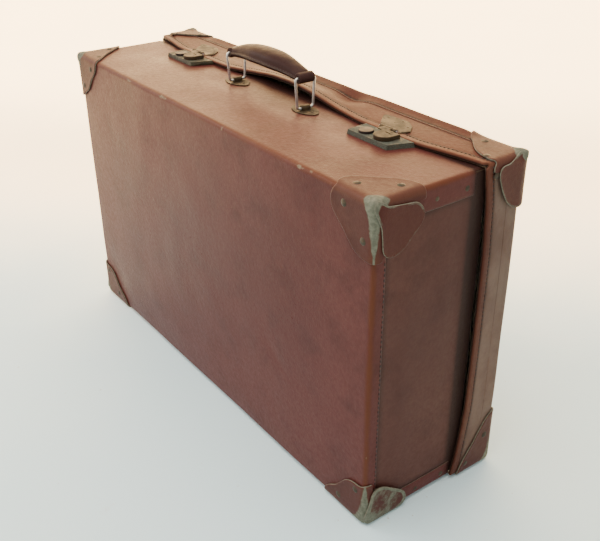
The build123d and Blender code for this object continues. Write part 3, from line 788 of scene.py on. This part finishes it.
# -------- corner caps
FULL_ANGLES = (0, 2.5, 5, 8, 11, 15, 20, 26, 33, 41, 49, 57, 64, 70, 75, 79, 82, 85, 87.5)
CAP_ROWS = (0.05, 0.12, 0.2, 0.3, 0.42, 0.55, 0.68, 0.8, 0.9, 0.965, 1.0)
CAP_RIM_LIFT, LOBE_RIM_LIFT = 0.35, 0.5  # how far the cut edges stand up
TIP_LIFT = {"base": 2.0, "lid": 4.4}  # how far the top corners are bumped out into blunt points
LOBE_T = 1.9
WRAP_ANGLES = {9.6, 13, 17, 30, 60, 73, 77, 81}  # more angles for the narrow wraps, whose reach turns sharply


def narrow_wrap(along_y, top_width, side_width, along_z):
    """The reach of a cap that only turns a narrow strip onto the end, along both edges of the corner."""

    def reach(angle):
        t = radians(angle)
        if angle <= 45:
            return min(along_y / cos(t), top_width / max(sin(t), 1e-6))
        return min(along_z / sin(t), side_width / max(cos(t), 1e-6))

    return reach


def cap_frame(shell, side, up):
    """A corner of the box and the directions of its three edges, away from it."""
    corner = Vector((side * shell.half_x, shell.closed_y, shell.top if up else FLOOR_Z))
    return corner, Vector((-side, 0, 0)), Vector((0, shell.mouth, 0)), Vector((0, 0, -1 if up else 1))


def cap_wear(shell, p, up, upright, others):
    """Bare grey hide down the corner's upright edge, widest at the corner, and along the other edges."""
    dx, dy, dz = shell.half_x - abs(p.x), abs(p.y - shell.closed_y), shell.top - p.z if up else p.z - FLOOR_Z
    width = 2.5 + 10 * fade(1 - dz / 55)
    value = upright * rub(dx, dy, width, 1.25)
    value += others * rub(dy, dz, 9) + others * rub(dx, dz, 9)
    return min(value + 0.8 * fade(1.2 - sqrt(dx * dx + dy * dy + dz * dz) / 14), 1.0)


def hide_disc(name, shell, flat, lifts, rows, edges, wear, thickness):
    """A piece of thick hide on a shell, from rings of points round the first one."""
    count = (len(flat) - 1) // rows
    placed = [shell.place(p, lift) for p, lift in zip(flat, lifts)]
    points, normals = zip(*placed)
    faces = [(0, 1 + j, 1 + (j + 1) % count) for j in range(count)]
    faces += [tuple(1 + i for i in f) for f in tube_grid(rows, count, True)]
    obj = build(name, points, faces, normals, [M_CAP, M_RAW], shell.body, "cap_hide", edges, wear)
    return thicken(obj, thickness, 1)


def corner_cap(name, shell, side, up, on_z, on_x, on_y, upright, others):
    """A cap over a corner, from its reach over each of the three faces at each angle between their edges."""
    corner, ex, ey, ez = cap_frame(shell, side, up)
    rim = []
    for a, b, reach in ((ex, ey, on_z), (ey, ez, on_x), (ez, ex, on_y)):
        table = not callable(reach)
        for angle in FULL_ANGLES if table else sorted(WRAP_ANGLES.union(FULL_ANGLES)):
            t = radians(angle)
            if not table:
                far = reach(angle)
            else:
                far = soft_at(reach, angle, 3) if 3 < angle < 87 else at(reach, angle)
            rim.append((a * cos(t) + b * sin(t), far))
    flat = [corner] + [corner + d * far * row for row in CAP_ROWS for d, far in rim]
    lifts = [CAP_T] + [CAP_T + (CAP_RIM_LIFT if row > 0.95 else 0.0) for row in CAP_ROWS for _ in rim]
    tip = TIP_LIFT[shell.body] if up else 0.0
    lifts = [lift + tip * max(1 - (p - corner).length / 15, 0.0) ** 1.6 for p, lift in zip(flat, lifts)]
    return hide_disc(
        name, shell, flat, lifts, len(CAP_ROWS), [0.8 * fade(1 - shell.edge_distance(p) / 12) for p in flat],
        [cap_wear(shell, p, up, upright, others) for p in flat], CAP_T - 0.1,
    )


def smooth_outline(points, count):
    """A closed Catmull-Rom curve through the points, as count points."""
    made = []
    n = len(points)
    for i in range(n):
        p0, p1, p2, p3 = (Vector(points[(i + k - 1) % n]) for k in range(4))
        for s in range(count // n):
            t = s / (count // n)
            square, cube = 2 * p0 - 5 * p1 + 4 * p2 - p3, 3 * p1 - p0 - 3 * p2 + p3
            made.append(0.5 * (2 * p1 + (p2 - p0) * t + square * t * t + cube * t ** 3))
    return made


def end_lobe(name, shell, side, up, outline, worn):
    """The lobe that laps over the end, from its outline: distances in from the corner, along y and along z."""
    corner, _, ey, ez = cap_frame(shell, side, up)
    curve = smooth_outline(outline, len(outline) * 4)
    middle = sum(curve, Vector((0, 0))) / len(curve)
    rows = (0.25, 0.5, 0.7, 0.85, 0.94, 1.0)
    spots = [(middle, 0.0)] + [(middle.lerp(c, row), row) for row in rows for c in curve]
    flat = [corner + ey * a.x + ez * a.y for a, _ in spots]
    lifts = [CAP_T + LOBE_T + (LOBE_RIM_LIFT if row > 0.95 else 0) for _, row in spots]
    near_rim = (len(rows) - 2) * len(curve)
    wear = [
        worn * (0.55 if i > near_rim else 0.15) + 0.5 * hump(a.x + a.y, 0, 14) for i, (a, _) in enumerate(spots)
    ]
    return hide_disc(name, shell, flat, lifts, len(rows), [0.25] * len(flat), wear, LOBE_T)


# outlines of the caps' lobes: (angle, reach from the corner), or points of an end lobe's edge
round_top = [(0, 52), (9, 59), (21, 58), (31, 54), (45, 52), (60, 54), (75, 56), (90, 56)]
round_face = [
    (0, 58), (5, 58), (16, 59), (25, 58.5), (36, 56), (47, 54.5), (57, 57), (66, 60), (72, 61), (79, 60),
    (84, 57), (90, 52),
]
ogee_top = [(0, 57), (10, 52), (22, 45), (35, 41.5), (47, 41.5), (60, 44), (74, 49), (84, 58), (90, 60)]
ogee_face = [(0, 56), (10, 54), (18, 50), (27, 50.5), (38, 48), (52, 45.6), (65, 49), (76, 54), (90, 57)]
foot_face = [
    (0, 51), (5, 48.5), (10, 48), (23, 50), (31, 50.5), (40, 49.5), (50, 48.3), (65, 49.7), (80, 61), (90, 66),
]
foot_under = [(0, 66), (20, 58), (45, 53), (70, 54), (90, 56)]
BASE_TEARDROP = [
    (1, -1), (10, 4), (20, 6), (32, 7.5), (45, 9.5), (52, 17), (53, 25), (48.5, 32), (41.5, 39), (35, 46),
    (28, 52), (19, 54.5), (11.5, 52.5), (7.2, 46), (6, 34), (4.5, 23), (2, 13), (-0.5, 5),
]
FOOT_TEARDROP = [
    (0.5, 5), (2.5, 19), (5, 32), (8, 40), (15, 43), (24, 40), (34, 33), (45, 25), (52, 18), (54, 8), (46, 1),
    (28, -0.5), (10, 0),
]

for side, sign in SIDES.items():
    right = side == "right"
    cap = corner_cap(
        "base_cap_hide_top_" + side, base, sign, True, round_top if right else ogee_top,
        narrow_wrap(56, 9.5, 8.5, 58 if right else 56), round_face if right else ogee_face, 0.85, 0.35,
    )
    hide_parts("base_cap_top_" + side)
    end_lobe("base_cap_lobe_top_" + side, base, sign, True, BASE_TEARDROP, 1.0)
    cap = corner_cap(
        "base_cap_hide_bottom_" + side, base, sign, False, foot_under, narrow_wrap(56, 7, 8.5, 51), foot_face,
        0.75, 0.7,
    )
    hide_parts("base_cap_bottom_" + side)
    end_lobe("base_cap_lobe_bottom_" + side, base, sign, False, FOOT_TEARDROP, 3.8)


def cut_across(first, second, angle):
    """The reach of a cap that is cut straight across, from one edge of the corner to the other."""
    t = radians(angle)
    return 1 / (cos(t) / first + sin(t) / second)


lid_top_right = [
    (0, 66), (8, 62), (14, 58.7), (22, 52), (38, 48.6), (55, 49), (70, 50.5), (81, 51.4), (90, 52.4),
]
lid_top_left = [(angle, cut_across(55, 50, angle)) for angle in range(0, 91, 15)]
lid_back = [(0, 52), (15, 55), (30, 54), (45, 52), (60, 54), (75, 60), (90, 66)]
lid_back_left = [(0, 52), (15, 54), (30, 53), (45, 51), (60, 53), (75, 55), (90, 55)]
lid_foot_end = [
    (0, 52), (10.5, 51.5), (21, 50.5), (33, 49.5), (48, 48.5), (62, 52), (73, 57.5), (81, 66), (90, 70),
]
lid_foot_back = [(0, 70), (15, 62), (30, 55), (45, 52), (60, 54), (75, 57), (90, 56)]
lid_foot_under = [(0, 56), (30, 52), (60, 49), (90, 48)]
LID_TEARDROP = [
    (6, -2.5), (16, 2), (27, 4.5), (38, 5.2), (43.5, 8.2), (45, 14), (42, 22.6), (36.5, 31), (27, 40.6), (16, 49),
    (7, 52.5), (0.5, 50), (-2, 40), (-2.5, 25), (-2, 10), (0, 0),
]

for side, sign in SIDES.items():
    right = side == "right"
    cap = corner_cap(
        "lid_cap_hide_top_" + side, lid, sign, True, lid_top_right if right else lid_top_left,
        narrow_wrap(52.4 if right else 50, 10, 9, 52), lid_back if right else lid_back_left, 0.8, 0.35,
    )
    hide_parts("lid_cap_top_" + side)
    end_lobe("lid_cap_lobe_top_" + side, lid, sign, True, LID_TEARDROP, 1.0)
    cap = corner_cap(
        "lid_cap_hide_bottom_" + side, lid, sign, False, lid_foot_under, lid_foot_end, lid_foot_back, 0.7, 0.6,
    )
    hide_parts("lid_cap_bottom_" + side)


# -------- handle grip
bail_low, bail_high = box_mm("bail_left")
bail_xs = {side: sum(box.x for box in box_mm("bail_" + side)) / 2 for side in SIDES}
GRIP_X, BAIL_X = (bail_xs["right"] + bail_xs["left"]) / 2, (bail_xs["right"] - bail_xs["left"]) / 2
BAIL_Y = (bail_low.y + bail_high.y) / 2
WIRE_R = (bail_high.x - bail_low.x) / 2
LOOP_Z = bail_high.z - WIRE_R
LOOP_R = 6.0
STRAP_EDGE = 9.5  # beyond this half width the loops' edges are rounded off
GRIP_LAP = 0.9  # the hides' thickness, and the gap between their edges and the seam


def grip_section(x):
    """Half width, and the height of the top, the side seam and the underside, at x from the grip's middle."""
    t = abs(x) / BAIL_X
    swell = 1 - fade((t - 0.12) / 0.75)
    half = 9.6 + 5.2 * swell
    arch = 1 - t * t
    top = LOOP_Z + 5.6 + 12.2 * (1 - t ** 2.4)
    low = LOOP_Z - 5.4 + 3.6 * arch
    seam = LOOP_Z - 0.6 + 5.6 * arch
    return half, top, seam, low


def grip_half(name, upper, node):
    """One of the grip's two hides, domed between its sewn sides, that meets the other in a thin welt."""
    xs = spread([-BAIL_X + 1.0, -BAIL_X + 8, -30, 0, 30, BAIL_X - 8, BAIL_X - 1.0], 4.5)
    turns = [i / 16 for i in range(17)]
    way = 1 if upper else -1
    points, normals, edges, wear = [], [], [], []
    for x in xs:
        half, top, seam, low = grip_section(x)
        welt = 1.6 * (1 - fade((abs(x) - 58) / 8)) + 0.1
        rows = [(-(half + welt), 0.0)]
        for t in turns:
            angle = pi * (1 - t)
            c, s = cos(angle), sin(angle)
            rows.append((half * copysign(abs(c) ** 0.8, c), s ** 0.85 if s > 0 else 0.0))
        rows.append((half + welt, 0.0))
        height = (top - seam - GRIP_LAP) if upper else (low - seam + GRIP_LAP)
        for y, share in rows:
            ripple = 0.45 * noise.noise(Vector((x / 9, y / 9, 5.0 if upper else 8.0)))
            z = seam + way * GRIP_LAP + height * share + ripple * share
            points.append(Vector((GRIP_X + x, BAIL_Y + y, z)))
            normals.append(Vector((0, y / 20, way * (0.4 + share))))
            on_welt = abs(y) > half + 0.05
            edges.append(0.3 if on_welt else 0.35 * share)
            wear.append(0.55 if on_welt else 0.14 * share)
    faces = tube_grid(len(xs), len(turns) + 2)
    obj = build(name, points, faces, normals, [M_GRIP, M_RAW_DARK], "grip", "grip_hide", edges, wear)
    thicken(obj, GRIP_LAP, 1)
    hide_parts(node)


grip_half("grip_hide_upper", True, "grip_upper_leather")
grip_half("grip_hide_lower", False, "grip_lower_leather")


def grip_core():
    """The core the hides are sewn round, just inside them."""
    count, inset = 24, 1.7
    points, normals = [], []
    xs = spread([-52, 52], 4.0)
    for x in xs:
        half, top, seam, low = grip_section(x)
        for k in range(count):
            turn = 2 * pi * k / count
            out = Vector((0, cos(turn), sin(turn)))
            reach = (top if out.z > 0 else 2 * seam - low) - seam - inset
            y, z = (half - inset) * out.y, max(reach, 0.5) * out.z
            points.append(Vector((GRIP_X + x, BAIL_Y + y, seam + z)))
            normals.append(out)
    faces = tube_grid(len(xs), count, True)
    for row, way in ((0, -1), (len(xs) - 1, 1)):
        middle = sum((points[row * count + k] for k in range(count)), Vector()) / count
        points.append(middle + Vector((way * 0.5, 0, 0)))
        normals.append(Vector((way * 5.0, 0, 0)))
        faces += [(row * count + k, row * count + (k + 1) % count, len(points) - 1) for k in range(count)]
    obj = build("grip_core_wood", points, faces, normals, M_WOOD, "grip", "wood_core")
    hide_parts("grip_core")


grip_core()


def grip_loop(name, side):
    """The strap end rolled round the bail's wire."""
    points, normals = [], []
    x0 = GRIP_X + side * BAIL_X
    inner, outer = WIRE_R + 0.35, LOOP_R - 0.2
    ring = [(w, outer - (0.5 if abs(w) > STRAP_EDGE else 0.0)) for w in (-9.7, -9.1, -6.0, 0.0, 6.0, 9.1, 9.7)]
    profile = ring + [(w, inner) for w, _ in reversed(ring)]
    count = 28
    to_grip = pi if side > 0 else 0
    for i in range(count):
        turn = 2 * pi * i / count
        out = Vector((cos(turn), 0, sin(turn)))
        for w, r in profile:
            outside = r > inner + 1
            fat = r + (0.5 * max(0.0, cos(turn - to_grip)) if outside else 0.0)
            points.append(Vector((x0, BAIL_Y + w, LOOP_Z)) + out * fat)
            sideways = Vector((0, copysign(1, w), 0)) if abs(w) > STRAP_EDGE else Vector()
            normals.append((out if outside else -out) * 0.8 + sideways)
    faces = tube_grid(count, len(profile), True, True)
    edges, wear = [0.3] * len(points), [0.15] * len(points)
    obj = build(name, points, faces, normals, M_GRIP, "grip", "grip_hide", edges, wear)
    sub = obj.modifiers.new("smooth", "SUBSURF")
    sub.levels = sub.render_levels = 1


for side, sign in SIDES.items():
    grip_loop("grip_loop_" + side, sign)

for side, way in (("near", -1), ("far", 1)):
    path = []
    for x in spread([-58, 0, 58], 3.0):
        half, _, seam, _ = grip_section(x)
        spot = Vector((GRIP_X + x, BAIL_Y + way * (half + 0.6), seam + 0.95))
        path.append((spot, Vector((0, way * 0.2, 1)).normalized()))
    stitches("grip_stitches_" + side, path, "grip", length=3.0, gap=1.4, radius=0.38)


# -------- metalwork and inside, carried over from the CAD
def dress(mat, *names, bevel=0.0):
    """Gives CAD nodes a material, and softens their edges."""
    for name in names:
        obj = nodes[name]
        obj.data.materials.clear()
        obj.data.materials.append(mat)
        if bevel:
            weld = obj.modifiers.new("weld", "WELD")
            weld.merge_threshold = 1e-6
            mod = obj.modifiers.new("bevel", "BEVEL")
            mod.width, mod.segments = bevel * MM, 2
            mod.limit_method, mod.angle_limit, mod.harden_normals = "ANGLE", radians(35), False


def pair(*names):
    return [name + "_" + side for name in names for side in SIDES]


dress(M_LOCK_L, "lock_case_left", bevel=0.35)
dress(M_LOCK_R, "lock_case_right", bevel=0.35)
dress(M_BRASS, *pair("hasp", "hasp_plate"), bevel=0.25)
dress(M_PLATE, *pair("handle_plate"), bevel=0.3)
dress(M_BRASS, *pair("lock_back_plate"), "hinge_base_leaves", "hinge_lid_leaves")
dress(M_STEEL, *pair("bail", "hasp_pin", "lock_bolt", "lock_spring"), "hinge_pins")
dress(M_KNOB, *pair("lock_knob"))
dress(M_RIVET, "base_rivets", "lid_rivets")
dress(M_BOARD, "base_front_board", "base_top_board", "base_bottom_board", *pair("base_end_board"))
dress(M_LINING, "base_lining")
dress(M_WOOD, "rim_batten_top", "rim_batten_bottom", *pair("rim_batten"))


# -------- floor, light and camera
def floor_material():
    """A pale floor with faint marks, cool near the case and warm towards the wall, with a painted glow that
    brightens it towards the wall.
    """
    g = Graph("pale_sweep")
    split = g.add("SeparateXYZ")
    g.put(split.inputs["Vector"], g.coords)
    x, y = split.outputs["X"], split.outputs["Y"]
    along = g.math("SUBTRACT", g.times(y, 0.59), g.times(x, 0.81))
    along = g.plus(along, g.plus(g.times(x, 0.07), g.times(y, 0.1)))
    soft = g.plus(along, g.swing(g.noise(1.6, 3.0), 0.4))
    color = g.mix(g.step(soft, 0.1, 0.7), (0.72, 0.92, 0.96), (0.92, 0.82, 0.66))
    flat = g.step(split.outputs["Z"], 0.0, 0.1, 1.0, 0.0)
    marks = g.times(g.step(g.noise(9.0, 6.0, 0.75), 0.62, 0.8, 0.0, 0.35), flat)
    specks = g.times(g.step(g.noise(70.0, 3.0, 0.6), 0.70, 0.76, 0.0, 0.5), flat)
    color = g.mix(marks, color, (0.56, 0.49, 0.38))
    color = g.mix(specks, color, (0.40, 0.30, 0.20))
    # painted light: the floor and wall glow warm, more and more towards the wall, to make the backdrop bright
    painted_glow = g.plus(g.step(soft, 0.0, 0.6, 0.0, 3.0), g.step(soft, 0.7, 1.4, 0.0, 2.4))
    g.put(g.shader.inputs["Emission Strength"], painted_glow)
    g.set(g.shader, Emission_Color=(1.0, 0.66, 0.3, 1.0))
    return g.finish(color, g.step(g.noise(5.0), 0.3, 0.7, 0.55, 0.7), g.bump(g.noise(40.0, 4.0), 0.0006, 0.2))


AZIMUTH, ELEVATION, ROLL = radians(53.95), radians(29.0), radians(-0.526)
CAMERA_AT = Vector((781.7, -516.7, 657.2)) * MM
FOCAL_LENGTH = 50.74
BEND_AT, BEND_R, WALL_TOP = 2.6, 0.55, 3.2  # the floor's far edge, the bend's radius and the wall's height


def aim(obj, place, way, roll=0.0):
    obj.location = place
    obj.rotation_mode = "QUATERNION"
    obj.rotation_quaternion = way.to_track_quat("-Z", "Y") @ Quaternion((0, 0, 1), roll)


def sweep():
    """A floor that curves up into a pale wall behind the case, seen from the camera's side."""
    run = [(0.2 * i - 2.6, 0.0) for i in range(26)]
    for i in range(13):
        turn = pi / 2 * i / 12
        run.append((BEND_AT + BEND_R * sin(turn), BEND_R * (1 - cos(turn))))
    run += [(BEND_AT + BEND_R, BEND_R + (WALL_TOP - BEND_R) * i / 8) for i in range(1, 9)]
    away = Vector((-sin(AZIMUTH), cos(AZIMUTH), 0.0))
    across = Vector((cos(AZIMUTH), sin(AZIMUTH), 0.0))
    widths = [-3.2 + 0.4 * i for i in range(17)]
    points = [away * d + across * w + Vector((0, 0, z)) for d, z in run for w in widths]
    mesh = bpy.data.meshes.new("sweep")
    mesh.from_pydata(points, [], tube_grid(len(run), len(widths)))
    mesh.shade_smooth()
    mesh.materials.append(floor_material())
    obj = place_new("sweep", mesh)


sweep()


def area_light(name, place, target, size, power, color):
    data = bpy.data.lights.new(name, "AREA")
    data.shape, data.size, data.energy, data.color = "DISK", size, power, color
    aim(place_new(name, data), place, Vector(target) - Vector(place))


area_light("overhead", (-0.35, 0.25, 2.6), (-0.1, 0.1, 0.3), 2.2, 26.0, (1.0, 0.96, 0.9))
area_light("window", (-2.3, -1.7, 1.5), (0, 0, 0.2), 1.8, 54.0, (1.0, 0.95, 0.93))
area_light("wall_wash", (0.2, -0.6, 2.4), (-1.0, 0.9, 1.0), 1.6, 40.0, (1.0, 0.93, 0.82))

world = bpy.data.worlds.new("studio")
bpy.context.scene.world = world
world.use_nodes = True
background = world.node_tree.nodes["Background"].inputs
background["Color"].default_value = (1.0, 0.97, 0.93, 1.0)
background["Strength"].default_value = 0.92

camera_data = bpy.data.cameras.new("camera")
camera_data.sensor_width = 36.0
camera_data.lens = FOCAL_LENGTH
camera_data.clip_start, camera_data.clip_end = 0.01, 50.0
camera = place_new("camera", camera_data)
level = cos(ELEVATION)
view = Vector((-sin(AZIMUTH) * level, cos(AZIMUTH) * level, -sin(ELEVATION)))
aim(camera, CAMERA_AT, view, ROLL)
bpy.context.scene.camera = camera
